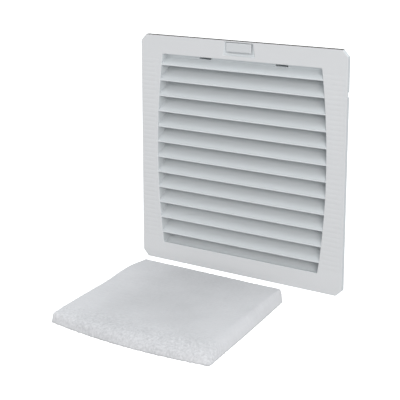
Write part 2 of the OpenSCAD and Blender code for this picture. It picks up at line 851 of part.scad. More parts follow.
module terminal_block() {
    y_top = box_depth + terminal_depth;
    color("#e4e2da") difference() {
        translate([terminal_x, box_depth, -terminal_h / 2]) cube([terminal_w, terminal_depth, terminal_h]);
        at_poles() {
            rod_y(terminal_well_d / 2, y_top - 9, y_top + 1);
            // wire entry from the side
            translate([terminal_w / 2 - 4, box_depth + 3, -2]) cube([6, 4, 4]);
        }
        // grooves between the poles
        for (i = [0 : terminal_poles - 2])
            translate([terminal_x - 1, y_top - 5, (i - (terminal_poles - 2) / 2) * terminal_pitch - 0.75])
                cube([terminal_w + 2, 6, 1.5]);
    }
}

module terminal_screws() {
    y_seat = box_depth + terminal_depth - 9;
    color("silver") at_poles() difference() {
        rod_y(terminal_well_d / 2 - 0.4, y_seat, y_seat + 5);
        translate([-terminal_well_d, y_seat + 3.8, -0.4]) cube([2 * terminal_well_d, 2, 0.8]);
    }
}

// Clear caps that close the screw wells.
module terminal_screw_caps() {
    y_top = box_depth + terminal_depth;
    color("#d7dadc") at_poles() union() {
        rod_y(terminal_well_d / 2 - seat_slack, y_top - 2.5, y_top + eps);
        rod_y(terminal_well_d / 2 + 0.8, y_top, y_top + 1);
    }
}

grille_cover();
release_latch();
latch_springs();
base_frame();
sealing_gasket();
hinge_pins();
retaining_clips();
filter_support_grid();
filter_mat();
fan_housing();
front_bearing();
rear_bearing();
stator_core();
stator_windings();
motor_shaft();
rotor_cup();
rotor_cage();
impeller();
shaft_circlip();
finger_guard();
fan_screws();
terminal_block();
terminal_screws();
terminal_screw_caps();
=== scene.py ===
# %% [markdown]
# # A cabinet filter fan, dressed for its photograph
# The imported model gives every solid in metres: X runs to the right, Y into the cabinet and Z up. This
# lesson keeps those solids as a fixed frame, makes the pieces that the camera looks at as smooth surfaces
# in numpy, and gives every piece a finish of its own.

# %% Load the frame
import math

import bmesh
import bpy
import numpy as np
from mathutils import Matrix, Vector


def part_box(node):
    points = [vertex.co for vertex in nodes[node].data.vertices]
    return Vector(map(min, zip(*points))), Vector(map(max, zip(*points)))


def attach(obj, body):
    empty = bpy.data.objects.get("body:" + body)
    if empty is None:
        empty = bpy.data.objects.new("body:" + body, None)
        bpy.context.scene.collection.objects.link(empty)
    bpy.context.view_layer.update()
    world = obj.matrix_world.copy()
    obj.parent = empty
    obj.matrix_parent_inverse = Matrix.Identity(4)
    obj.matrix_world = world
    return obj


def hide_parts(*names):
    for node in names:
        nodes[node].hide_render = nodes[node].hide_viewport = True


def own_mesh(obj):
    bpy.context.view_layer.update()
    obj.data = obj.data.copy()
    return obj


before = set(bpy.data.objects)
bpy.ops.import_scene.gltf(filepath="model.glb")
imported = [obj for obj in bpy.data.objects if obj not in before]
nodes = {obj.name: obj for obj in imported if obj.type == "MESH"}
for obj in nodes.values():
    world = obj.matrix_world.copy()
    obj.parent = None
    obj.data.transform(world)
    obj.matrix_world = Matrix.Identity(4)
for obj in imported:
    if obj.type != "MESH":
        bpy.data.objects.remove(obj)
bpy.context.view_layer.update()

scene = bpy.context.scene

# %% [markdown]
# ## Camera
# The photograph looks at the front from the right and a little from above. A yaw, a pitch, a place and a
# focal length in pixels say that with four plain facts, and the camera's matrix is put together from its
# own right, up and backward directions. A small lens shift lets the camera look down a little less, so the
# cover's upright sides lean less in the picture.

# %% Camera
PHOTO_SIDE, SENSOR_SIDE = 400, 36.0
FOCAL_PIXELS, LENS_SHIFT = 1120.8, -0.1
YAW, PITCH = math.radians(34.61), math.radians(12.89)
CAMERA_PLACE = np.array([0.6202, -0.9795, 0.2638])


def set_pose(thing, side, up, back, place):
    """Puts a camera or a lamp at a place, with its own X, Y and Z along side, up and back."""
    pose = np.eye(4)
    pose[:3] = np.stack([side, up, back, place], 1)
    thing.matrix_world = Matrix(pose.tolist())


level = math.cos(PITCH)
ahead = np.array([-math.sin(YAW) * level, math.cos(YAW) * level, -math.sin(PITCH)])
rightward = np.array([math.cos(YAW), math.sin(YAW), 0.0])
camera = bpy.data.objects.new("camera", bpy.data.cameras.new("camera"))
scene.collection.objects.link(camera)
camera.data.sensor_width = SENSOR_SIDE
camera.data.lens = FOCAL_PIXELS / PHOTO_SIDE * SENSOR_SIDE
camera.data.shift_y = LENS_SHIFT
set_pose(camera, rightward, np.cross(rightward, ahead), -ahead, CAMERA_PLACE)
scene.camera = camera
print("camera lens %.1f mm" % camera.data.lens)

# %% [markdown]
# ## Sizes
# The cover's sizes repeat those of the solids, in millimetres, and the depths are read from the packed
# model, so a new pack moves the pieces with it. Only the finished points are turned into metres.

# %% Sizes of the cover, in millimetres
MM = 0.001
FACE_T, RIM_DEPTH, RIM_T, CORNER_CUT = 2.2, 5.0, 2.0, 7.0
OPEN_H, OPEN_W, SIDE_BOW = 105.7, 104.7, 7.4
LOUVRE_WALL = 1.5

cover_low, cover_high = (np.array(corner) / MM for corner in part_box("grille_cover"))
FRONT_HALF = cover_high[0]
FACE = cover_low[1]
LOUVRE_END = cover_high[1]
FACE_BACK = FACE + FACE_T
RIM_END = FACE + RIM_DEPTH
BOW_R = (OPEN_H ** 2 + SIDE_BOW ** 2) / (2 * SIDE_BOW)
BOW_CENTRE = BOW_R - OPEN_W
FLOOR = -FRONT_HALF
print("front %.1f mm, face at %.1f, bow radius %.0f" % (2 * FRONT_HALF, FACE, BOW_R))

# %% [markdown]
# ## Putting a surface into a mesh
# A surface is a table of points, rows by columns, and its faces are the quads between neighbours. One
# helper lists those quads for open and closed tables, and another makes the object: it joins doubled
# points, turns the faces outwards and marks the edges that should stay crisp.

# %% Grid and mesh helpers
JOIN_DISTANCE = 1e-6


def grid_quads(rows, columns, closed_rows=False, closed_columns=False):
    """Quads (i, j), (i+1, j), (i+1, j+1), (i, j+1) of a table of points, as a rows x columns x 4 array."""
    i, j = np.meshgrid(
        np.arange(rows - (not closed_rows)), np.arange(columns - (not closed_columns)), indexing="ij"
    )
    below, beside = (i + 1) % rows, (j + 1) % columns
    corners = (i, j), (below, j), (below, beside), (i, beside)
    return np.stack([row * columns + place for row, place in corners], -1)


def quads(table):
    """The quads of a table as plain lists."""
    return table.reshape(-1, 4).tolist()


def tube_faces(rows, columns, start):
    """Faces of a tube of closed loops: the quads between the loops, and a cap at each end."""
    ring = np.arange(columns) + start
    caps = [ring.tolist(), (ring + (rows - 1) * columns).tolist()]
    return quads(grid_quads(rows, columns, closed_columns=True) + start) + caps


def make_piece(name, points, faces, crisp=35):
    """An object at the origin from points in millimetres and faces; edges past the crisp angle stay sharp."""
    mesh = bpy.data.meshes.new(name)
    mesh.from_pydata((points.reshape(-1, 3) * MM).tolist(), [], faces)
    shell = bmesh.new()
    shell.from_mesh(mesh)
    bmesh.ops.remove_doubles(shell, verts=shell.verts, dist=JOIN_DISTANCE)
    bmesh.ops.recalc_face_normals(shell, faces=shell.faces)
    shell.to_mesh(mesh)
    shell.free()
    mesh.polygons.foreach_set("use_smooth", np.ones(len(mesh.polygons), bool))
    mesh.set_sharp_from_angle(angle=math.radians(crisp))
    piece = bpy.data.objects.new(name, mesh)
    scene.collection.objects.link(piece)
    print(name, len(mesh.vertices), "points,", len(mesh.polygons), "faces")
    return piece


# %% [markdown]
# ## The cover's two outlines
# Seen from the front, the cover is a band between the louvre opening, whose sides bow outwards, and a
# square with its corners cut. Both outlines get the same number of stations, each with a base point and a
# normal, so that the outline grown by any distance is one line of arithmetic, with rounded corners for free.

# %% Runs of stations
OPENING_CORNER, COVER_CORNER = 1.2, 2.0
CUT_START, CUT_END = 0.35, 0.65
TOP_KEEP, SIDE_KEEP = 62, 100

bow_angle = math.asin((OPEN_H - OPENING_CORNER) / (BOW_R - OPENING_CORNER))
opening_x = (BOW_R - OPENING_CORNER) * math.cos(bow_angle) - BOW_CENTRE
opening_z = OPEN_H - OPENING_CORNER
cover_half = FRONT_HALF - COVER_CORNER
cover_flat = cover_half - (CORNER_CUT - (2 - math.sqrt(2)) * COVER_CORNER)
print("opening turns at %.1f, %.1f mm" % (opening_x, opening_z))


def spread(values, keep, inner, outer):
    """Leaves |value| <= keep alone and stretches keep..inner to keep..outer."""
    size = np.abs(values)
    far = keep + (size - keep) * (outer - keep) / (inner - keep)
    return np.sign(values) * np.where(size <= keep, size, far)


def directions(angle):
    """Unit vectors (cos, sin) of an array of angles."""
    return np.stack([np.cos(angle), np.sin(angle)], 1)


def corner_run(count=18):
    """Quarter turn from top to right side: the opening turns on one point, the cover on its cut corner."""
    share = np.linspace(0, 1, count)
    turn = np.radians(90) + share * (bow_angle - np.radians(90))
    near = np.tile([opening_x, opening_z], (count, 1)), directions(turn)
    lean = np.radians(np.interp(share, [0, CUT_START, CUT_END, 1], [90, 45, 45, 0]))
    along = np.clip((share - CUT_START) / (CUT_END - CUT_START), 0, 1)[:, None]
    far = (1 - along) * [cover_flat, cover_half] + along * [cover_half, cover_flat], directions(lean)
    return near, far


def top_run(x):
    """The straight top, from left to right."""
    up_normal = np.tile([0.0, 1.0], (len(x), 1))
    near = np.stack([x, np.full_like(x, opening_z)], 1)
    far = np.stack([spread(x, TOP_KEEP, opening_x, cover_flat), np.full_like(x, cover_half)], 1)
    return (near, up_normal), (far, up_normal)


def side_run(z):
    """The bowed right side, from top to bottom: points and normals of a wide arc beside a straight edge."""
    normal = directions(np.arcsin(z / (BOW_R - OPENING_CORNER)))
    near = (BOW_R - OPENING_CORNER) * normal - [BOW_CENTRE, 0]
    far = np.stack([np.full_like(z, cover_half), spread(z, SIDE_KEEP, opening_z, cover_flat)], 1)
    return (near, normal), (far, np.tile([1.0, 0.0], (len(z), 1)))


def turned_half(run):
    """The same run on the other half of the cover, turned by 180 degrees."""
    return tuple((-place, -normal) for place, normal in run)


# %% Stations along the two outlines
NECK_HALF = 10.3
HINGE_X, HINGE_HALF = 80.0, 12.0
NOTCH_Z, NOTCH_HALF = 81.6, 2.5
RIB_STATION = 0.625
HAIR = 0.02


def mirrored(values):
    """The values and their negatives, in order."""
    values = np.unique(np.round(values, 3))
    return np.unique(np.concatenate([-values, values]))


def stepped(half):
    """Stations just outside and just inside two steps: they make a sharp step in a smooth run."""
    return np.array([-half - HAIR, -half, half, half + HAIR])


# close together where the recess's sides slope, and wider along the rest of the bar
recess_x = [0, 3, 6, 8.5, NECK_HALF, 12, 14, 15.6, *np.arange(16.2, 20.7, 0.1), 20.75, 20.85, 21.5]
bar_x = [24, 28, 32, 40, 48, 56, 62, 70, 78, 86, 92, 96, opening_x - 0.3]
top_x = mirrored(np.concatenate([recess_x, bar_x]))
ear_x = [HINGE_X, *(HINGE_X + stepped(HINGE_HALF))]
bottom_x = mirrored(np.concatenate([np.arange(0, 66, 8), ear_x, [95, opening_x - 0.3]]))
side_z = np.unique(np.concatenate([np.arange(-103, 103.5, RIB_STATION), NOTCH_Z + stepped(NOTCH_HALF)]))[::-1]

upper_corner = corner_run()
lower_corner = tuple((place[::-1] * [1, -1], normal[::-1] * [1, -1]) for place, normal in upper_corner)
right_half = [top_run(top_x), upper_corner, side_run(side_z), lower_corner]
left_half = [top_run(bottom_x), upper_corner, side_run(side_z), lower_corner]
runs = right_half + [turned_half(run) for run in left_half]

# places in that list of the runs that the profile treats in their own way
RIGHT_BAR, RIGHT_LOW, LOW_BAR, LEFT_LOW, LEFT_BAR = range(2, 7)

run_of = np.concatenate([np.full(len(run[0][0]), k) for k, run in enumerate(runs)])
near_place, near_normal = (np.concatenate([run[0][k] for run in runs]) for k in (0, 1))
far_place, far_normal = (np.concatenate([run[1][k] for run in runs]) for k in (0, 1))
print(len(run_of), "stations round the cover")

# %% [markdown]
# ## The cover's shell
# The moulding has one cross-section nearly all the way round: a wall that stands behind the opening's
# edge, the flat face, a rounded front edge and a short rim. That closed profile is carried along the
# stations. A few things vary on the way: the wall stops short at the bottom, the rim is open over the
# hinges, and the face sinks round the release tab and has fine ribs on the side bars. Each of them is a
# change to the profile's depth, and a small notch in the right edge is a change in the cover's plane, so
# the table of points stays whole.

# %% Profile of the shell
EDGE_NEAR, EDGE_FAR, RIM_ROUND, RIM_BREAK, RIM_FOOT = 0.9, 0.8, 0.4, 0.2, 0.3
NECK_BOTTOM, NECK_TOP = 114.5, 121.5
BACK_LOW, BACK_HIGH = 107.2, 124.0

# heights of the rows on the upper bar, closer where the recess begins and ends
face_z = np.array([
    106.2, 106.45, 107.2, 108.5, 109.4, 109.8, 109.95, 110.1, 110.3, 110.5, 110.7, 110.85, 111.1, 111.7,
    113, 113.1, 113.2, 113.35, NECK_BOTTOM, 116, 118, 120, NECK_TOP, 122.6, 123.5, 123.95, 124.15, 124.25,
    124.35, 124.5, 124.8, 125.0, 125.2,
])
face_share = (face_z - face_z[0]) / (face_z[-1] - face_z[0])
back_z = np.array([BACK_HIGH, 123.2, NECK_TOP, 117, NECK_BOTTOM, 109, BACK_LOW])
back_share = (back_z - BACK_LOW) / (BACK_HIGH - BACK_LOW)

# depths of the rows on the louvre's wall, outside the rim and inside it
wall_y = np.array([LOUVRE_END, LOUVRE_END - 0.4, 3.0, -5.0, FACE_BACK + 0.1, FACE + 1.2, FACE + 0.95])
rim_y = np.array([FACE + 1.2, FACE + 2.5, RIM_END - RIM_ROUND])
inside_y = np.array([RIM_END, RIM_END - RIM_BREAK, FACE_BACK + RIM_FOOT])
bend = np.linspace(0, math.pi / 2, 6)
slow_bend, quick_bend = 1 - np.cos(bend), 1 - np.sin(bend)
end_bend = np.linspace(0, math.pi / 2, 4)
end_y = RIM_END - RIM_ROUND + RIM_ROUND * np.sin(end_bend)


def section(share, grow, shrink, depth):
    """Rows of the profile: share of the way out, growth of the opening, shrinkage of the edge, and depth."""
    return np.stack(np.broadcast_arrays(share, grow, shrink, depth), 1).astype(float)


sections = {
    "wall": section(0, 0, 0, wall_y),
    "opening edge": section(0, EDGE_NEAR * slow_bend, 0, FACE + EDGE_NEAR * quick_bend)[:-1],
    "face": section(face_share, EDGE_NEAR, EDGE_FAR, FACE),
    "outer edge": section(1, 0, EDGE_FAR * quick_bend, FACE + EDGE_FAR * slow_bend)[1:],
    "rim": section(1, 0, 0, rim_y),
    "rim end": section(1, 0, RIM_ROUND * (1 - np.cos(end_bend)), end_y)[1:],
    "rim inside": section(1, 0, [RIM_T - RIM_BREAK, RIM_T, RIM_T], inside_y),
    "back": section(back_share, LOUVRE_WALL, RIM_T, FACE_BACK),
    "inner wall": section(0, LOUVRE_WALL, 0, wall_y)[-3::-1],
}
profile = np.concatenate(list(sections.values()))
section_of = np.repeat(list(sections), [len(rows) for rows in sections.values()])
share, near_grow, far_shrink, depth = profile.T
print(len(profile), "points in the profile")

# %% Ways in which the depth varies
NOTCH_DEPTH = 1.2
RECESS_TOP, RECESS_BOTTOM, RECESS_SINK, RECESS_REACH = 124.3, 110.8, 1.3, 20.8
RECESS_HALF_LOW, RECESS_HALF_HIGH = 19.0, 17.0
SIDE_SLOPE, FOOT_SLOPE, TOP_SLOPE = 1.8, 0.9, 0.2
GAP_HALF, GAP_BOTTOM, GAP_SINK, GAP_SLOPE = 16.5, 113.1, 0.9, 0.2
RIB_STEP, RIB_DEPTH, RIB_NEAR, RIB_FAR, RIB_HIGH, RIB_FADE = 5.0, 0.17, 1.5, 124.6, 101.5, 0.5


def in_sections(*names):
    """Which rows of the profile belong to the named sections, as a column."""
    return np.isin(section_of, names)[:, None]


def shell_plane():
    """Place in the cover's plane: the two outlines, each moved along its normals n, blended by share.

    (1 - share) (near + (corner + grow) n) + share (far + (corner - shrink) n)
    """
    near = near_place + (OPENING_CORNER + near_grow)[:, None, None] * near_normal
    at_notch = (run_of == RIGHT_BAR) & (np.abs(far_place[:, 1] - NOTCH_Z) <= NOTCH_HALF + HAIR / 2)
    cut = NOTCH_DEPTH * in_sections("rim", "rim end") * at_notch
    far = far_place + (COVER_CORNER - far_shrink[:, None] - cut)[..., None] * far_normal
    return (1 - share)[:, None, None] * near + share[:, None, None] * far


def recess_depth(x, z):
    """How far the face sinks round the tab: the least of three ramps, and a deeper gap close to the tab."""
    half = np.interp(z, [RECESS_BOTTOM, RECESS_TOP], [RECESS_HALF_LOW, RECESS_HALF_HIGH]) + SIDE_SLOPE / 2
    sides = (half - np.abs(x)) / SIDE_SLOPE
    foot = (z - RECESS_BOTTOM + FOOT_SLOPE) / FOOT_SLOPE
    top = (RECESS_TOP + TOP_SLOPE / 2 - z) / TOP_SLOPE
    gap = np.stack([GAP_HALF - np.abs(x), z - GAP_BOTTOM, RECESS_TOP - z]).min(0)
    ramp = np.clip(np.stack([sides, foot, top]).min(0), 0, 1)
    return RECESS_SINK * ramp + GAP_SINK * np.clip(gap / GAP_SLOPE, 0, 1)


def rib_depth(x, z):
    """Fine ribs on the side bars: shallow round grooves |cos(pi z / step)|^6, faded out at their ends."""
    groove = np.abs(np.cos(math.pi * z / RIB_STEP)) ** 6
    beside = np.abs(x) - (np.sqrt(BOW_R ** 2 - z ** 2) - BOW_CENTRE)
    ends = [beside - RIB_NEAR, RIB_FAR - np.abs(x), RIB_HIGH - np.abs(z)]
    return RIB_DEPTH * groove * np.prod([np.clip(end / RIB_FADE, 0, 1) for end in ends], 0)


# %% Carry the profile round the cover
BACK_STEP = 0.6
LOW_WALL, LOW_WALL_X, WALL_FADE = 0.6, 102.6, 20
RIM_STUB, STUB_FADE = 0.05, 3

plane = shell_plane()
x, z = plane[..., 0], plane[..., 1]
y = np.repeat(depth[:, None], len(run_of), 1)
on_bars = np.isin(run_of, [RIGHT_BAR, LEFT_BAR])
y = y + in_sections("face") * (recess_depth(x, z) + rib_depth(x, z) * on_bars)
y = y + in_sections("back") * BACK_STEP * ((np.abs(x) < RECESS_REACH) & (z > OPEN_H))

low_corner = np.isin(run_of, [RIGHT_LOW, LEFT_LOW]) & (np.abs(x.mean(0)) < LOW_WALL_X)
walls = in_sections("wall", "inner wall") & (depth > FACE_BACK)[:, None]
short_wall = walls & ((run_of == LOW_BAR) | low_corner)
y = np.where(short_wall, FACE_BACK + LOW_WALL * np.clip((y - FACE_BACK) / WALL_FADE, 0, 1), y)

over_hinge = (run_of == LOW_BAR) & (np.abs(np.abs(x) - HINGE_X) <= HINGE_HALF + HAIR / 2)
open_rim = over_hinge & in_sections("rim", "rim end", "rim inside") & (y > FACE_BACK)
y = np.where(open_rim, FACE_BACK - RIM_STUB + RIM_STUB * (y - FACE_BACK) / STUB_FADE, y)
shell_points = np.stack([x, y, z], -1)
print("shell table", shell_points.shape)

# %% [markdown]
# ## A window through the shell
# The neck of the release tab goes through both sides of the shell. In the table its window is a rectangle
# of cells: the cells of both layers are left out, and four strips of quads join their borders.

# %% Cut the window and make the shell
def window(table, kept, outer_rows, inner_rows, columns):
    """Leaves out the cells of two layers and returns the quads that join the two borders, edge by edge."""
    (outer_low, outer_high), (inner_high, inner_low), (first, last) = outer_rows, inner_rows, columns
    kept[outer_low:outer_high, first:last] = False
    kept[inner_high:inner_low, first:last] = False
    outer_edge, inner_edge = np.arange(outer_low, outer_high + 1), np.arange(inner_low, inner_high - 1, -1)
    steps = max(len(outer_edge), len(inner_edge))
    outer_edge, inner_edge = (
        edge[np.linspace(0, len(edge) - 1, steps).round().astype(int)] for edge in (outer_edge, inner_edge)
    )
    span = slice(first, last + 1)
    ends = (outer_low, inner_low), (outer_high, inner_high)
    borders = [(table[outer, span], table[inner, span]) for outer, inner in ends]
    borders += [(table[outer_edge, column], table[inner_edge, column]) for column in (first, last)]
    return np.concatenate([np.stack([a[:-1], a[1:], b[1:], b[:-1]], 1) for a, b in borders]).tolist()


def without_repeats(face):
    """A quad whose neighbours coincide becomes a triangle."""
    return [corner for k, corner in enumerate(face) if corner != face[k - 1]]


def nearest(values, *wanted):
    """The places in an array of the entries nearest to some values."""
    return np.array([np.abs(values - value).argmin() for value in wanted])


table = np.arange(shell_points.shape[0] * shell_points.shape[1]).reshape(shell_points.shape[:2])
cells = grid_quads(*shell_points.shape[:2], closed_rows=True, closed_columns=True)
kept = np.ones(cells.shape[:2], bool)
face_first, back_first = (int((section_of == name).argmax()) for name in ("face", "back"))
joins = window(
    table, kept, face_first + nearest(face_z, NECK_BOTTOM, NECK_TOP),
    back_first + nearest(back_z, NECK_TOP, NECK_BOTTOM), nearest(top_x, -NECK_HALF, NECK_HALF),
)
shell_faces = cells[kept].tolist() + [without_repeats(face) for face in joins]
cover_shell = make_piece("cover_shell", shell_points, shell_faces)

# %% [markdown]
# ## The louvre's slats
# A slat has an upright lip in front and a blade that rises to the rear at 40 degrees. Its rounded profile
# is carried from one bowed side to the other, so the ends follow the opening's arc: x is the arc's width at
# the height of each point. The top slat turns up to the opening's top edge and so closes the louvre, and
# its turned-up end steps back into a pocket where the two slots are.

# %% Profiles of the slats
SLATS, SLAT_STEP, FIRST_LIP = 13, 17.1, OPEN_H - 12.3
LIP_H, SLAT_T, SLAT_DEPTH = 1.3, 1.6, 22.0
SLAT_SLOPE, TURN_SLOPE = math.radians(40), math.radians(85)
LIP, LIP_ROUND, LIP_LEAN, TIP_ROUND = FACE + 0.3, 0.45, 0.2, 0.25
TURN_DROP, TURN_EASE, TURN_END = 4.0, 2.6, 1.2
SLOT_X, SLOT_HALF, SLOT_DROP, SLOT_DEPTH, SLOT_EASE = 47.0, 7.5, 3.2, 9.0, 0.3

RISE, TURN_RISE = math.tan(SLAT_SLOPE), math.tan(TURN_SLOPE)
upright, turn_t = SLAT_T / math.cos(SLAT_SLOPE), SLAT_T / math.sin(TURN_SLOPE)
TURN_BACK = (OPEN_H - FIRST_LIP - LIP_H - TURN_DROP) / RISE
foot = LIP + (upright - LIP_H) / RISE
slope = np.array([0.08, 0.2, 0.4, 0.6, 0.8, 0.98])
print("blade %.2f mm thick upright, top slat turns %.1f mm behind its lip" % (upright, TURN_BACK))


def lip_edges():
    """The lip's rounded lower and upper edge, as (depth, height) from the foot of the lip."""
    turn, r = np.linspace(0, math.pi / 2, 5), LIP_ROUND
    low = np.stack([LIP + r - r * np.sin(turn), r - r * np.cos(turn)], 1)
    high = np.stack([LIP + r - r * np.cos(turn), LIP_H - r + r * np.sin(turn) + LIP_LEAN * turn * r], 1)
    return np.concatenate([low, high])


def blade(depth, below=0.0):
    """Points (depth, height) on the blade's upper side or below it: height = lip + rise (depth - lip's)."""
    return np.stack([depth, LIP_H + (depth - LIP) * RISE - below], -1)


def underside(end):
    """The blade's underside, from its rear end to the foot of the lip."""
    return blade(foot + (end - foot) * np.append(slope[::-1], 0), upright)


def slat_profile():
    """Closed profile of a slat: the lip's edges, the blade's upper side, its rear end and its underside."""
    end = LIP + SLAT_DEPTH
    over = LIP + (end - LIP) * slope
    tip = blade(np.array([end, end])) - [[0, TIP_ROUND], [0, upright - TIP_ROUND]]
    return np.concatenate([lip_edges(), blade(over), tip, underside(end)])


def top_slat_profile(end, step):
    """The top slat's profile: a bend (1-t)^2 a + 2t(1-t) b + t^2 c behind the blade, a step back, a wall."""
    turn = LIP + TURN_BACK
    inner = turn + (turn_t - upright / TURN_RISE) / (1 - RISE / TURN_RISE)
    start = LIP_H + TURN_BACK * RISE
    height = np.array([end - SLOT_DROP - SLOT_EASE, end - SLOT_DROP, end - SLOT_DROP + HAIR, end])
    risen = np.stack([turn + (height - start) / TURN_RISE + [0, 0, step, step], height], 1)
    t = np.linspace(0, 1, 7)[:-1, None]
    bent = (1 - t) ** 2 * blade(turn - TURN_EASE) + 2 * t * (1 - t) * [turn, start] + t ** 2 * risen[0]
    over = LIP + (turn - TURN_EASE - LIP) * slope[:-1]
    back = risen[:1:-1] + [[turn_t, 0], [turn_t, -TURN_END]]
    return np.concatenate([lip_edges(), blade(over), bent, risen, back, underside(inner)])


# %% Slats
BEYOND = 200.0
slat_x = np.array([-BEYOND, -60, -20, 20, 60, BEYOND])
slot_x = np.concatenate([[-BEYOND], stepped(SLOT_HALF) - SLOT_X, stepped(SLOT_HALF) + SLOT_X, [BEYOND]])
slot_steps = SLOT_DEPTH * np.array([0, 0, 1, 1, 0, 0, 1, 1, 0, 0])


def slat_half_width(z):
    """Half the louvre's width at a height, to the middle of its side wall: an arc of the bow's radius."""
    return np.sqrt((BOW_R + LOUVRE_WALL / 2) ** 2 - z ** 2) - BOW_CENTRE


def slat(lip_z, stations, loops):
    """One slat: a closed profile at each station, whose two ends follow the arc."""
    z = loops[..., 1] + lip_z
    half = slat_half_width(z)
    x = np.clip(stations[:, None], -half, half)
    return np.stack([x, loops[..., 0], z], -1)


top_loops = np.stack([top_slat_profile(OPEN_H - FIRST_LIP, step) for step in slot_steps])
slats = [slat(FIRST_LIP, slot_x, top_loops)]
for number in range(1, SLATS):
    slats.append(slat(FIRST_LIP - number * SLAT_STEP, slat_x, np.stack([slat_profile()] * len(slat_x))))
starts = np.cumsum([0] + [made.size // 3 for made in slats])
slat_faces = [face for made, start in zip(slats, starts) for face in tube_faces(*made.shape[:2], start)]
slat_points = np.concatenate([made.reshape(-1, 3) for made in slats])
louvre_slats = make_piece("louvre_slats", slat_points, slat_faces, crisp=40)

# %% [markdown]
# ## Behind the cover
# The back of the cover carries six posts that seat on the flange, two hinge knuckles and two ledges for
# the latch springs. Each is a profile turned or carried along its axis: posts and knuckles are rings of
# points round a centre line, and a ledge is a block whose six sides come from one rounded formula.

# %% Posts
FLANGE = FACE_BACK + 4.0
POST_OUT, POST_EDGE, POST_ROOT, POST_GAP, POST_BREAK = 59.5, 115.4, 0.5, 0.3, 0.3


def full_turn(count):
    """Angles of a whole turn, without its last one."""
    return np.linspace(0, 2 * math.pi, count, endpoint=False)


def post(x, z, radius=2.5, count=24):
    """A post: the half profile (radius, depth) turned round Y, closed at both ends."""
    root, tip = FACE_BACK - POST_ROOT, FLANGE - POST_GAP
    half = np.array([
        [0, root], [radius, root], [radius, tip - POST_BREAK], [radius - POST_BREAK, tip], [0, tip],
    ])
    ring = half[:, None, 0] * directions(full_turn(count)).T[:, None]
    depth = np.repeat(half[:, 1:], count, 1)
    return np.stack([x + ring[0], depth, z + ring[1]], -1), grid_quads(len(half), count, closed_columns=True)


fixings = [post(s * POST_OUT, POST_EDGE) for s in (-1, 1)]
fixings += [post(s * POST_EDGE, height) for s in (-1, 1) for height in (-POST_OUT, POST_OUT)]
print(len(fixings), "posts")

# %% Hinge knuckles
HINGE_Y, HINGE_Z, HINGE_R, PIN_R = FACE_BACK + 3.3, -122.6, 2.9, 1.55
KNUCKLE_WIDTH, WEB_ROOT, TINY = 11.4, 0.4, 1e-6


def knuckle(x, width, count=48):
    """A hinge knuckle: bore, end face, outside, end face, with the outside drawn out forward into its web."""
    ways = directions(full_turn(count)).T
    forward = (HINGE_Y - FACE_BACK + WEB_ROOT) / np.maximum(-ways[0], TINY)
    web = np.minimum(forward, HINGE_R / np.maximum(np.abs(ways[1]), TINY))
    outside = np.where(ways[0] < 0, web, HINGE_R)
    bore = np.full(count, PIN_R)
    place = np.stack([bore, outside, outside, bore])[:, None] * ways
    along = np.repeat((x + width / 2 * np.array([-1, -1, 1, 1]))[:, None], count, 1)
    points = np.stack([along, HINGE_Y + place[:, 0], HINGE_Z + place[:, 1]], -1)
    return points, grid_quads(4, count, closed_rows=True, closed_columns=True)


fixings += [knuckle(s * HINGE_X, KNUCKLE_WIDTH) for s in (-1, 1)]
print("knuckles at %.1f mm, pin bore %.2f mm" % (HINGE_X, 2 * PIN_R))

# %% Ledges, and all the fixings in one piece
SPRING_X, SPRING_LEDGE = 7.0, 109.5
LEDGE_HALF, LEDGE_LOW, LEDGE_FRONT, LEDGE_BACK = 2.5, 106.6, FACE_BACK + 0.3, FACE_BACK + 3.4


def block(low, high, power=0.12, count=25):
    """A rounded block: centre + half size * sign(c) |c|^power of the two angles' cosines and sines."""
    low, high = np.array(low), np.array(high)
    half_turn = np.linspace(-math.pi / 2, math.pi / 2, count)
    lift, turn = np.meshgrid(half_turn, full_turn(2 * count), indexing="ij")
    swings = np.stack([np.cos(lift), np.sin(lift), np.cos(turn), np.sin(turn)])
    cos_lift, sin_lift, cos_turn, sin_turn = np.sign(swings) * np.abs(swings) ** power
    unit = np.stack([cos_lift * cos_turn, cos_lift * sin_turn, sin_lift], -1)
    return (low + high) / 2 + unit * (high - low) / 2, grid_quads(count, 2 * count, closed_columns=True)


def ledge(x):
    """A ledge for one latch spring."""
    return block((x - LEDGE_HALF, LEDGE_FRONT, LEDGE_LOW), (x + LEDGE_HALF, LEDGE_BACK, SPRING_LEDGE))


fixings += [ledge(s * SPRING_X) for s in (-1, 1)]
starts = np.cumsum([0] + [points.size // 3 for points, corners in fixings])
fixing_faces = [face for (points, corners), start in zip(fixings, starts) for face in quads(corners + start)]
fixing_points = np.concatenate([points.reshape(-1, 3) for points, corners in fixings])
cover_fixings = make_piece("cover_fixings", fixing_points, fixing_faces)

for piece in (cover_shell, louvre_slats, cover_fixings):
    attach(piece, "cover")
    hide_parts("grille_cover")

# %% [markdown]
# ## Latch springs
# Two small springs stand on the ledges and push the release tab up. A spring is a wire wound round a rod,
# so its surface is a circle carried along a helix. It stands on the cover and the tab presses it down, so
# it rides on the cover.

# %% Latch springs
spring_low, spring_high = (np.array(corner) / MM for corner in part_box("latch_springs"))


def coil(x, turns=5, wire=0.2, steps=120, sides=12):
    """A coil: a circle of the wire's radius w, by angle b, carried along a helix of radius r, by angle a.

    ((r + w cos b) cos a, (r + w cos b) sin a, foot + w + rise a / end + w sin b)
    """
    a, b = np.meshgrid(np.linspace(0, 2 * math.pi * turns, steps + 1), full_turn(sides), indexing="ij")
    centre, half = (spring_low + spring_high) / 2, (spring_high - spring_low) / 2
    out = half[1] - wire + wire * np.cos(b)
    z = spring_low[2] + wire + 2 * (half[2] - wire) * a / a.max() + wire * np.sin(b)
    return np.stack([x + out * np.cos(a), centre[1] + out * np.sin(a), z], -1)


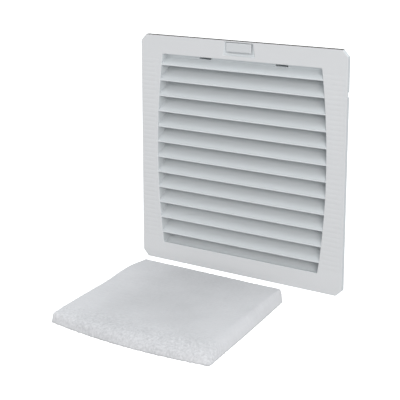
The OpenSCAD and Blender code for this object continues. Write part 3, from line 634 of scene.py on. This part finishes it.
coils = np.stack([coil(s * SPRING_X) for s in (-1, 1)])
rows, columns = coils.shape[1:3]
coil_faces = tube_faces(rows, columns, 0) + tube_faces(rows, columns, rows * columns)
latch_coils = make_piece("latch_coils", coils, coil_faces)
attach(latch_coils, "cover")
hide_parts("latch_springs")
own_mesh(latch_coils)

# %% [markdown]
# ## The filter mat
# The mat is a slab of bonded fleece, cut to the size of the tray, that lies on the table. Its corners are
# drawn on the four places where they are seen in the photograph. Left and behind, the cut edge still stands
# upright, but towards the front right corner it has been pressed and rolls down, so each edge has a width
# over which it falls.

# %% Height of the mat
MAT_THICK = np.array([[8.7, 10.5], [12.0, 12.8]])
MAT_HALF, UNEVEN = 86.5, 0.35
LEFT_FALL, BACK_FALL, FRONT_FALL, FRONT_GROWS, RIGHT_FALL, RIGHT_SHRINKS = 1.6, 1.8, 11, 8.5, 9, 6
HUMP, HUMP_PLACE, HUMP_WIDTH = 2.4, 0.55, 0.35


def over_corners(values, u, v):
    """Bilinear blend of four corner values, with u and v from -1 to 1."""
    u, v = (u[..., None] + 1) / 2, (v[..., None] + 1) / 2
    front, back = ((1 - u) * pair[0] + u * pair[1] for pair in values)
    return (1 - v) * front + v * back


def waves(place, seed, pace_low, pace_high, count=24):
    """Gentle unevenness, about -1 to 1: a sum of sine waves in seeded directions, in any dimension."""
    pick = np.random.default_rng(seed)
    way = pick.normal(size=(count, place.shape[-1]))
    way *= (pick.uniform(pace_low, pace_high, count) / np.linalg.norm(way, axis=1))[:, None]
    return np.sin(place @ way.T + pick.uniform(0, 2 * math.pi, count)).sum(-1) / math.sqrt(2 * count)


def falls(distance, width):
    """A quarter of an ellipse from 0 at an edge to 1 at a width from it."""
    return np.sqrt(1 - (1 - np.clip(distance / width, 0, 1)) ** 2)


def mat_height(u, v):
    """Height of the top: thickness times the fall at each edge, with a hump by the rear of the left edge."""
    left, right, front, back = ((1 + side) * MAT_HALF for side in (u, -u, v, -v))
    edge = falls(left, LEFT_FALL) * falls(back, BACK_FALL)
    edge = edge * falls(front, FRONT_FALL + FRONT_GROWS * u) * falls(right, RIGHT_FALL - RIGHT_SHRINKS * v)
    hump = HUMP * np.exp(-((v - HUMP_PLACE) / HUMP_WIDTH) ** 2) * ((1 - u) / 2) ** 3
    thick = over_corners(MAT_THICK[..., None], u, v)[..., 0]
    return (thick + hump + UNEVEN * waves(np.stack([u, v], -1), 3, 2, 7)) * edge


# %% The mat's two sheets
MAT_CORNERS = np.array([[[-69.3, -230.3], [113.7, -231.3]], [[-91.5, -53.8], [84.1, -56.4]]])
FRONT_BOW, BOW_ASIDE, RIGHT_BOW, LEFT_BOW = 8.0, 0.1, 0.8, 2.0
MAT_GRID, EVEN_STEPS, EDGE_FOOT = 108, 0.55, 0.5
mat_low, mat_high = (np.array(corner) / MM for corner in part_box("filter_mat"))


def mat_surface(count):
    """Two sheets over a square grid (u, v), closer towards the edges: the raised top and the flat bottom."""
    step = np.linspace(-1, 1, count)
    step = EVEN_STEPS * step + (1 - EVEN_STEPS) * np.sin(step * math.pi / 2)
    u, v = np.meshgrid(step, step)
    ahead = FRONT_BOW * np.clip(-v, 0, 1) ** 3 * (1 - u ** 2)
    aside = (1 - v ** 2) * (RIGHT_BOW * np.clip(u, 0, 1) ** 3 - LEFT_BOW * np.clip(-u, 0, 1) ** 3)
    place = over_corners(MAT_CORNERS, u, v) + np.stack([BOW_ASIDE * ahead + aside, -ahead], -1)
    height = np.stack([EDGE_FOOT + mat_height(u, v), np.zeros_like(u)])
    return np.concatenate([np.stack([place, place]), FLOOR + height[..., None]], -1)


def joined_sheets(count):
    """Quads of the two sheets, and of the low band that joins them along their four borders."""
    table = np.arange(2 * count * count).reshape(2, count, count)
    cells = grid_quads(count, count).reshape(-1, 4)
    border = [np.concatenate([s[0, :-1], s[:-1, -1], s[-1, :0:-1], s[:0:-1, 0]]) for s in table]
    after = [np.roll(run, -1) for run in border]
    band = np.stack([border[0], after[0], after[1], border[1]], 1)
    return np.concatenate([cells, cells + count * count, band]).tolist()


mat_points = mat_surface(MAT_GRID)
mat_pad = make_piece("mat_pad", mat_points, joined_sheets(MAT_GRID), crisp=180)
print("mat box", mat_low.round(1), mat_high.round(1))
print("drawn  ", mat_points.min((0, 1, 2)).round(1), mat_points.max((0, 1, 2)).round(1))

# %% [markdown]
# ## Letting the mat swell
# Fleece is springy. The slab is run as cloth with a little pressure from inside, and each point may follow
# the simulation by only a small distance: the raised top follows it most, and what lies on the table stays,
# so the outline is kept. A subdivision then makes room for the tufts.

# %% Cloth helpers
def points_of(mesh):
    """The mesh's points in millimetres, as one array."""
    flat = np.empty(3 * len(mesh.vertices))
    mesh.vertices.foreach_get("co", flat)
    return flat.reshape(-1, 3) / MM


def put_points(mesh, points):
    """Puts points in millimetres back into the mesh."""
    mesh.vertices.foreach_set("co", (points * MM).ravel())
    mesh.update()


def finished(piece):
    """The piece's mesh with its modifiers applied."""
    return bpy.data.meshes.new_from_object(piece.evaluated_get(bpy.context.evaluated_depsgraph_get()))


def bake(piece):
    """Applies the piece's modifiers for good."""
    mesh = finished(piece)
    piece.modifiers.clear()
    piece.data = mesh


# %% Swell the mat
SWELL_PRESSURE, SWELL_FRAMES, SWELL_CAP = 4.0, 20, 0.9
SWELL_WAYS, FREE_HEIGHT = [0.3, 0.3, 1], 7
TUFT, FRONT_TUFT, TUFT_START, TUFT_RUN = 0.16, 0.22, -190, 30


def swell(piece):
    """Runs the piece as cloth under pressure, and moves each point towards the result by at most the cap."""
    cloth = piece.modifiers.new("springy", "CLOTH")
    cloth.settings.use_pressure = True
    cloth.settings.uniform_pressure_force = SWELL_PRESSURE
    cloth.settings.effector_weights.gravity = 0
    cloth.point_cache.frame_start, cloth.point_cache.frame_end = 1, SWELL_FRAMES
    for step in range(1, SWELL_FRAMES + 1):
        scene.frame_set(step)
    before, after = points_of(piece.data), points_of(finished(piece))
    piece.modifiers.clear()
    scene.frame_set(1)
    step = (after - before) * SWELL_WAYS
    length = np.linalg.norm(step, axis=1, keepdims=True)
    free = np.clip((before[:, 2:] - FLOOR) / FREE_HEIGHT, 0, 1)
    put_points(piece.data, before + free * step * np.minimum(1, SWELL_CAP / np.maximum(length, 1e-9)))
    print("swelling moved points by up to %.2f mm" % min(length.max(), SWELL_CAP))


swell(mat_pad)
softer = mat_pad.modifiers.new("softer", "SUBSURF")
softer.levels = softer.render_levels = 1
bake(mat_pad)
points = points_of(mat_pad.data)
normals = np.empty(points.size)
mat_pad.data.vertices.foreach_get("normal", normals)
rough = TUFT + FRONT_TUFT * np.clip((TUFT_START - points[:, 1:2]) / TUFT_RUN, 0, 1)
points += rough * waves(points, 8, 0.5, 2.2)[:, None] * normals.reshape(-1, 3)
points[:, 2] = np.maximum(points[:, 2], FLOOR)
put_points(mat_pad.data, points)
mat_pad.data.polygons.foreach_set("use_smooth", np.ones(len(mat_pad.data.polygons), bool))
print("mat_pad", len(mat_pad.data.polygons), "faces")
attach(mat_pad, "mat")
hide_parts("filter_mat")

# %% [markdown]
# ## Finishes
# A finish is a small network of nodes. One class wraps a socket, so that sums and products of sockets read
# like arithmetic, and its node method adds any other node. Patterns sit on Object coordinates, which are
# metres here, so a noise scale of 2000 means grains of half a millimetre.

# %% Sockets as Python values
class Tone:
    """One socket of a finish: arithmetic on it adds Math nodes, and node() adds any other node."""

    def __init__(self, tree, socket=None):
        self.tree = tree
        self.socket = socket

    def node(self, kind, settings=None, sockets=None, out=0):
        """Adds a node: its settings, then the values or links of its sockets; gives one of its outputs."""
        made = self.tree.nodes.new("ShaderNode" + kind)
        for name, value in (settings or {}).items():
            setattr(made, name, value)
        for name, value in (sockets or {}).items():
            if isinstance(value, Tone):
                self.tree.links.new(value.socket, made.inputs[name])
            else:
                made.inputs[name].default_value = value
        return Tone(self.tree, made.outputs[out])

    def math(self, operation, first, second=0.0):
        """A Math node on two values."""
        return self.node("Math", {"operation": operation}, {0: first, 1: second})

    def __add__(self, other):
        return self.math("ADD", self, other)

    def __radd__(self, other):
        return self.math("ADD", other, self)

    def __sub__(self, other):
        return self.math("SUBTRACT", self, other)

    def __rsub__(self, other):
        return self.math("SUBTRACT", other, self)

    def __mul__(self, other):
        return self.math("MULTIPLY", self, other)

    def __rmul__(self, other):
        return self.math("MULTIPLY", other, self)

    def __pow__(self, other):
        return self.math("POWER", self, other)

    def largest(self, other):
        """The larger of this value and another."""
        return self.math("MAXIMUM", self, other)

    def ramp(self, width):
        """0 below zero, 1 above a width, and an eased slope between."""
        return self.node("MapRange", {"interpolation_type": "SMOOTHSTEP"}, {"Value": self, "From Max": width})

    def vector(self, operation, first, second, third=(0, 0, 0)):
        """A Vector Math node on whole vectors."""
        return self.node("VectorMath", {"operation": operation}, {0: first, 1: second, 2: third})

    def parts(self):
        """The three components of these coordinates."""
        return [self.node("SeparateXYZ", {}, {0: self}, out=k) for k in range(3)]

    def dim(self, amount):
        """This colour times a value."""
        return self.node("VectorMath", {"operation": "SCALE"}, {0: self, "Scale": amount})

    def tint(self, low, high):
        """A colour between two others, plain ones or sockets, by this value from 0 to 1."""
        low, high = (c if isinstance(c, Tone) else (*c, 1) for c in (low, high))
        return self.node("Mix", {"data_type": "RGBA"}, {0: self, 6: low, 7: high}, out=2)

    def noise(self, scale, detail=2.0, stretch=(1, 1, 1)):
        """Noise from 0 to 1 over these coordinates, with about scale grains in a metre."""
        where = self.node("Mapping", {}, {"Vector": self, "Scale": stretch}, out="Vector")
        return self.node("TexNoise", {}, {"Vector": where, "Scale": scale, "Detail": detail})

    def bump(self, depth, strength=1.0):
        """A normal from this height, in metres."""
        return self.node("Bump", {}, {"Strength": strength, "Distance": depth, "Height": self}, out="Normal")


# %% Making a finish and giving it out
def make_finish(name, look, **steady):
    """A Principled finish: look(place) gives what varies, and steady holds plain values for the sockets."""
    material = bpy.data.materials.new(name)
    material.use_nodes = True
    shader = material.node_tree.nodes["Principled BSDF"]
    for socket, value in steady.items():
        shader.inputs[socket.replace("_", " ")].default_value = value
    place = Tone(material.node_tree).node("TexCoord", out="Object")
    for socket, tone in look(place).items():
        material.node_tree.links.new(tone.socket, shader.inputs[socket])
    return material


def dress(material, *pieces):
    """Gives a finish to pieces and to solids of the frame."""
    for piece in pieces:
        piece = nodes[piece] if isinstance(piece, str) else piece
        piece.data.materials.clear()
        piece.data.materials.append(material)
    print(material.name, "on", len(pieces))


# %% [markdown]
# ## Moulded plastic
# Cover, tab, frame and grid are moulded in light grey plastic, in a tool whose walls were eroded by sparks.
# A picture of such a surface would need its own mapping, so fine noise gives the grain in height and gloss,
# and broad noise gives the faint clouds. The cover adds painted shade, found by where a point lies: a cooler,
# lighter tint behind the face for the cool shade in the louvre, darker rim sides, and a dark shadow line
# along the top of the rim.

# %% Moulded plastic
def moulded(colour, grain=0.00002, spread=0.03):
    """Spark-eroded plastic: a fine even grain, with faint clouds in colour and gloss."""
    light, dark = [c * (1 + spread) for c in colour], [c * (1 - spread) for c in colour]

    def look(place):
        fine, cloud = place.noise(2600, 2.0), place.noise(40, 3.0)
        return {
            "Base Color": (0.25 + 0.5 * (0.3 * fine + 0.7 * cloud)).tint(dark, light),
            "Roughness": 0.5 + 0.14 * fine,
            "Normal": fine.bump(grain, 0.5),
        }

    return look


for name, colour, solid in (
    ("latch_plastic", (0.555, 0.568, 0.578), "release_latch"),
    ("base_plastic", (0.52, 0.527, 0.535), "base_frame"),
    ("grid_plastic", (0.47, 0.478, 0.485), "filter_support_grid"),
    ("terminal_plastic", (0.72, 0.7, 0.62), "terminal_block"),
):
    dress(make_finish(name, moulded(colour)), solid)
cap_look = moulded((0.62, 0.65, 0.68), grain=0.000005)
dress(make_finish("cap_plastic", cap_look, Coat_Weight=0.4), "terminal_screw_caps")

# %% The cover's plastic
# the second colour is a painted cool shade tint for everything behind the face
COVER_COLOUR, SHADE_TINT_BEHIND = (0.605, 0.61, 0.617), (1.0, 1.036, 1.044)
# painted shade: a dark shadow line on the rim's top, and a factor that darkens the rim's sides
TOP_SHADE_COLOUR, SIDE_SHADE, TOP_SHADE_DULL = (0.04, 0.032, 0.026), 0.15, 0.4
TOP_SHADE_FRONT, TOP_SHADE_DROP, SIDE_DROP, FACE_SKIN = 0.04, 0.65, 0.5, 0.1
SHARP_RAMP, SOFT_RAMP = 0.0002, 0.0004


def cover_look(place):
    """The cover's plastic with painted shade: a cool tint behind the face, darker rim sides, a dark line on
    the rim's top.
    """
    look = moulded(COVER_COLOUR)(place)
    colour = look["Base Color"]
    x, y, z = place.parts()
    # painted shade: behind the face the plastic gets a cooler, lighter tint for the cool shade in the louvre
    behind = (y - (FACE + FACE_SKIN) * MM).ramp(SOFT_RAMP)
    # painted shadow: a dark line along the top of the rim, found by depth and height
    line = (y - (FACE + TOP_SHADE_FRONT) * MM).ramp(SHARP_RAMP)
    line = line * (z - (FRONT_HALF - TOP_SHADE_DROP) * MM).ramp(SHARP_RAMP)
    # painted shade: the rim's left and right sides are darkened
    side = (x.largest(-1.0 * x) - (FRONT_HALF - SIDE_DROP) * MM).ramp(SOFT_RAMP)
    plastic = behind.tint(colour, colour.vector("MULTIPLY", colour, SHADE_TINT_BEHIND)).dim(1.0 - SIDE_SHADE * side)
    look["Base Color"] = line.tint(plastic, TOP_SHADE_COLOUR)
    look["Roughness"] = look["Roughness"] + TOP_SHADE_DULL * line
    return look


cover_plastic = make_finish("cover_plastic", cover_look, Specular_IOR_Level=0.3)
dress(cover_plastic, cover_shell, louvre_slats, cover_fixings)

# %% [markdown]
# ## Foam and fleece
# The gasket is closed-cell foam, which a cell pattern gives directly. The mat is a web of bonded fibres.
# Real hairs would be far too many, so stretched noise in two directions stands for the fibres and clouds
# of noise stand for thick and thin web. Painted light on the front, right and left margins, painted shade
# along the foot, and the speckled front are found by where a point lies on the mat.

# %% Gasket foam
def foam(place):
    """Closed-cell foam: small round cells in a dark grey body."""
    cells = place.node("TexVoronoi", {}, {"Vector": place, "Scale": 1400.0})
    return {
        "Base Color": cells.tint((0.03, 0.03, 0.032), (0.075, 0.075, 0.08)),
        "Roughness": 0.8 + 0.15 * cells,
        "Normal": cells.bump(0.0002, 0.6),
    }


dress(make_finish("gasket_foam", foam), "sealing_gasket")

# %% Mat fleece
THIN_WEB, THICK_WEB = (0.437, 0.439, 0.45), (0.735, 0.733, 0.748)
FIBRE_SCALE, FIBRE_STRETCH, FIBRE_BEND = 1500, 0.12, (0.006, 0.006, 0.006)
# where the painted light on the mat's front, right and left margins begins
FRONT_LIT_EDGE, RIGHT_LIT_EDGE, LEFT_LIT_EDGE = -0.155, 0.03, -0.012
RIGHT_LEAN, LEFT_LEAN, MAT_MIDDLE = 0.17, 0.13, 0.14
SPECKLE_START, SPECKLE_RUN = -0.186, 0.042
FOOT_SHADE, FOOT_HEIGHT = 0.25, 0.002


def painted_margin_light(x, y):
    """Painted light on the mat's front, right and left margins: the largest of three ramps, in metres."""
    front = (FRONT_LIT_EDGE - y).ramp(0.08)
    right = (x + RIGHT_LEAN * (y + MAT_MIDDLE) - RIGHT_LIT_EDGE).ramp(0.055)
    left = (LEFT_LIT_EDGE - x - LEFT_LEAN * (y + MAT_MIDDLE)).ramp(0.06)
    return (0.68 * front).largest(0.75 * right).largest(1.25 * left)


def fleece(place):
    """Bonded fleece: fibres as stretched noise in two directions, over soft clouds of thick and thin web."""
    warp = place.node("TexNoise", {}, {"Vector": place, "Scale": 90.0, "Detail": 2.0}, out="Color")
    bent = place.vector("MULTIPLY_ADD", warp, FIBRE_BEND, place)
    rearward = bent.noise(FIBRE_SCALE, 3.0, (1, FIBRE_STRETCH, 1))
    sideways = bent.noise(FIBRE_SCALE, 3.0, (FIBRE_STRETCH, 1, 1))
    fibres = 0.5 * (rearward + sideways)
    cloud = place.noise(38, 4.0)
    x, y, z = place.parts()
    speckled = (SPECKLE_START - y).ramp(SPECKLE_RUN)
    tufts = bent.noise(480, 4.0) - 0.5
    # painted light: the mat's front, right and left margins are lightened
    web = 0.2 * fibres + 0.3 * cloud + 0.24 * painted_margin_light(x, y) + (0.15 + 1.2 * speckled) * tufts
    lit = (1 - FOOT_SHADE) + FOOT_SHADE * (z - FLOOR * MM).ramp(FOOT_HEIGHT)
    return {
        "Base Color": web.tint(THIN_WEB, THICK_WEB).dim(lit),
        "Roughness": 0.85 + 0.1 * cloud,
        "Normal": (0.35 * fibres + 1.0 * cloud).bump(0.0006, 0.6),
    }


dress(make_finish("mat_fleece", fleece, Sheen_Weight=0.3, Sheen_Roughness=0.5), mat_pad)

# %% [markdown]
# ## Metals
# Shafts, pins, clips, springs and screws are bare metal whose gloss runs along the way it was drawn or
# ground. An anisotropic shader would do that, but the exported model loses it, so noise stretched along
# one direction stands for the fine lines. Fan casting, rotor cup and impeller are black under a coating
# that is uneven like orange peel.

# %% Bare metals
STEEL = (0.62, 0.63, 0.65)
ALONG_X, ALONG_Y = (0.05, 1, 1), (1, 0.05, 1)


def drawn(colour, stretch=(1, 1, 1), rough=0.32, scale=900):
    """Drawn or ground metal: fine lines along one direction in gloss and height."""
    low = [c * 0.9 for c in colour]

    def look(place):
        lines = place.noise(scale, 2.0, stretch)
        return {
            "Base Color": lines.tint(low, colour),
            "Roughness": rough - 0.08 + 0.16 * lines,
            "Normal": lines.bump(0.00001, 0.3),
        }

    return look


for name, look, *pieces in (
    ("bearing_steel", drawn(STEEL, ALONG_Y), "front_bearing", "rear_bearing"),
    ("pin_steel", drawn(STEEL, ALONG_X), "hinge_pins"),
    ("clip_steel", drawn((0.5, 0.52, 0.54), (1, 0.1, 1)), "retaining_clips", "shaft_circlip"),
    ("spring_steel", drawn(STEEL), latch_coils),
    ("shaft_steel", drawn(STEEL, ALONG_Y, 0.25), "motor_shaft"),
    ("screw_steel", drawn((0.66, 0.67, 0.66), (1, 0.2, 1), 0.3), "fan_screws", "terminal_screws"),
    ("guard_wire", drawn((0.7, 0.71, 0.73), rough=0.2, scale=300), "finger_guard"),
    ("core_steel", drawn((0.36, 0.37, 0.39), (0.02, 1, 0.02), 0.45, 2400), "stator_core"),
    ("cage_alloy", drawn((0.55, 0.56, 0.58), rough=0.4), "rotor_cage"),
):
    dress(make_finish(name, look, Metallic=1.0), *pieces)
copper_look = drawn((0.5, 0.22, 0.08), (0.3, 0.05, 0.3), 0.35, 1800)
dress(make_finish("winding_copper", copper_look, Metallic=0.8), "stator_windings")

# %% Coated metals
def coated(colour, rough=0.5):
    """Black coating over metal: a faint orange-peel surface, with lighter dust in its hollows."""

    def look(place):
        peel, dust = place.noise(700, 2.0), place.noise(60, 4.0)
        return {
            "Base Color": (dust ** 3).tint(colour, [c + 0.03 for c in colour]),
            "Roughness": rough + 0.15 * peel,
            "Normal": peel.bump(0.00004, 0.4),
        }

    return look


dress(make_finish("fan_casting", coated((0.022, 0.022, 0.024))), "fan_housing")
dress(make_finish("rotor_steel", coated((0.03, 0.03, 0.033), 0.42)), "rotor_cup")
dress(make_finish("impeller_paint", coated((0.026, 0.026, 0.028), 0.45)), "impeller")

# %% [markdown]
# ## Stage and light
# The photograph has a white ground and hardly any shadow. A pale floor that glows a little and a bright
# surround give that. A strong soft light from the right and a weak one from the left shape the front, a
# third from above lights the mat, and the hollows of the louvre darken by themselves.

# %% Floor
FLOOR_HALF, FLOOR_GAP, FLOOR_GLOW = 6, 0.0002, 0.62
floor_z = FLOOR * MM - FLOOR_GAP
floor_corners = [(x * FLOOR_HALF, y * FLOOR_HALF, floor_z) for x, y in ((-1, -1), (1, -1), (1, 1), (-1, 1))]
floor_mesh = bpy.data.meshes.new("floor")
floor_mesh.from_pydata(floor_corners, [], [(0, 1, 2, 3)])
floor = bpy.data.objects.new("floor", floor_mesh)
scene.collection.objects.link(floor)


def painted(place):
    """Matt paint: roughness with faint clouds."""
    return {"Roughness": 0.85 + 0.1 * place.noise(30)}


white = (1, 1, 1, 1)
floor_paint = make_finish(
    "floor_paint", painted, Base_Color=(0.9, 0.9, 0.9, 1), Emission_Color=white, Emission_Strength=FLOOR_GLOW
)
floor_mesh.materials.append(floor_paint)
floor.visible_diffuse = floor.visible_glossy = False
print("floor at %.4f m" % floor_z)

# %% Surround
OVERHEAD, BELOW, BEHIND = (0.43, 0.45, 0.465), (0.78, 0.8, 0.815), (0.9, 0.93, 0.95)
REAR_START, SKY_START, SKY_RUN = 0.35, 0.3, 0.6
world = bpy.data.worlds.new("studio")
scene.world = world
world.use_nodes = True
surround = world.node_tree.nodes["Background"]
sky = Tone(world.node_tree)
rearward, height = sky.node("TexCoord", out="Generated").parts()[1:]
front_half = (height + SKY_START).ramp(SKY_RUN).tint(BELOW, OVERHEAD)
studio = (rearward + REAR_START).ramp(SKY_RUN).tint(front_half, BEHIND)
backdrop = sky.node("LightPath", out="Is Camera Ray").tint(studio, (1, 1, 1))
world.node_tree.links.new(backdrop.socket, surround.inputs["Color"])
scene.view_settings.view_transform = "Standard"
print("surround of", len(world.node_tree.nodes), "nodes")

# %% Lights
KEY_RIGHT, KEY_LEFT, TOP = 53.0, 8.5, 11.5
KEY_TINT, TOP_TINT = (1.03, 1.0, 0.99), (0.97, 1.0, 1.02)


def soft_light(name, place, size, power, tint):
    """A rectangular area light at a place, turned to the origin."""
    lamp = bpy.data.objects.new(name, bpy.data.lights.new(name, "AREA"))
    lamp.data.shape = "RECTANGLE"
    lamp.data.size, lamp.data.size_y = size
    lamp.data.energy, lamp.data.color = power, tint
    back = np.array(place) / np.linalg.norm(place)
    side = np.cross([0, 0, 1], back)
    side /= np.linalg.norm(side)
    set_pose(lamp, side, np.cross(back, side), back, place)
    lamp.visible_camera = False
    scene.collection.objects.link(lamp)


soft_light("right_light", (2.3, -2.3, 0.9), (1.6, 1.8), KEY_RIGHT, KEY_TINT)
soft_light("left_light", (-1.5, -2.1, 0.66), (1.2, 1.6), KEY_LEFT, KEY_TINT)
soft_light("top_light", (0.2, -0.6, 1.8), (1.5, 1.5), TOP, TOP_TINT)
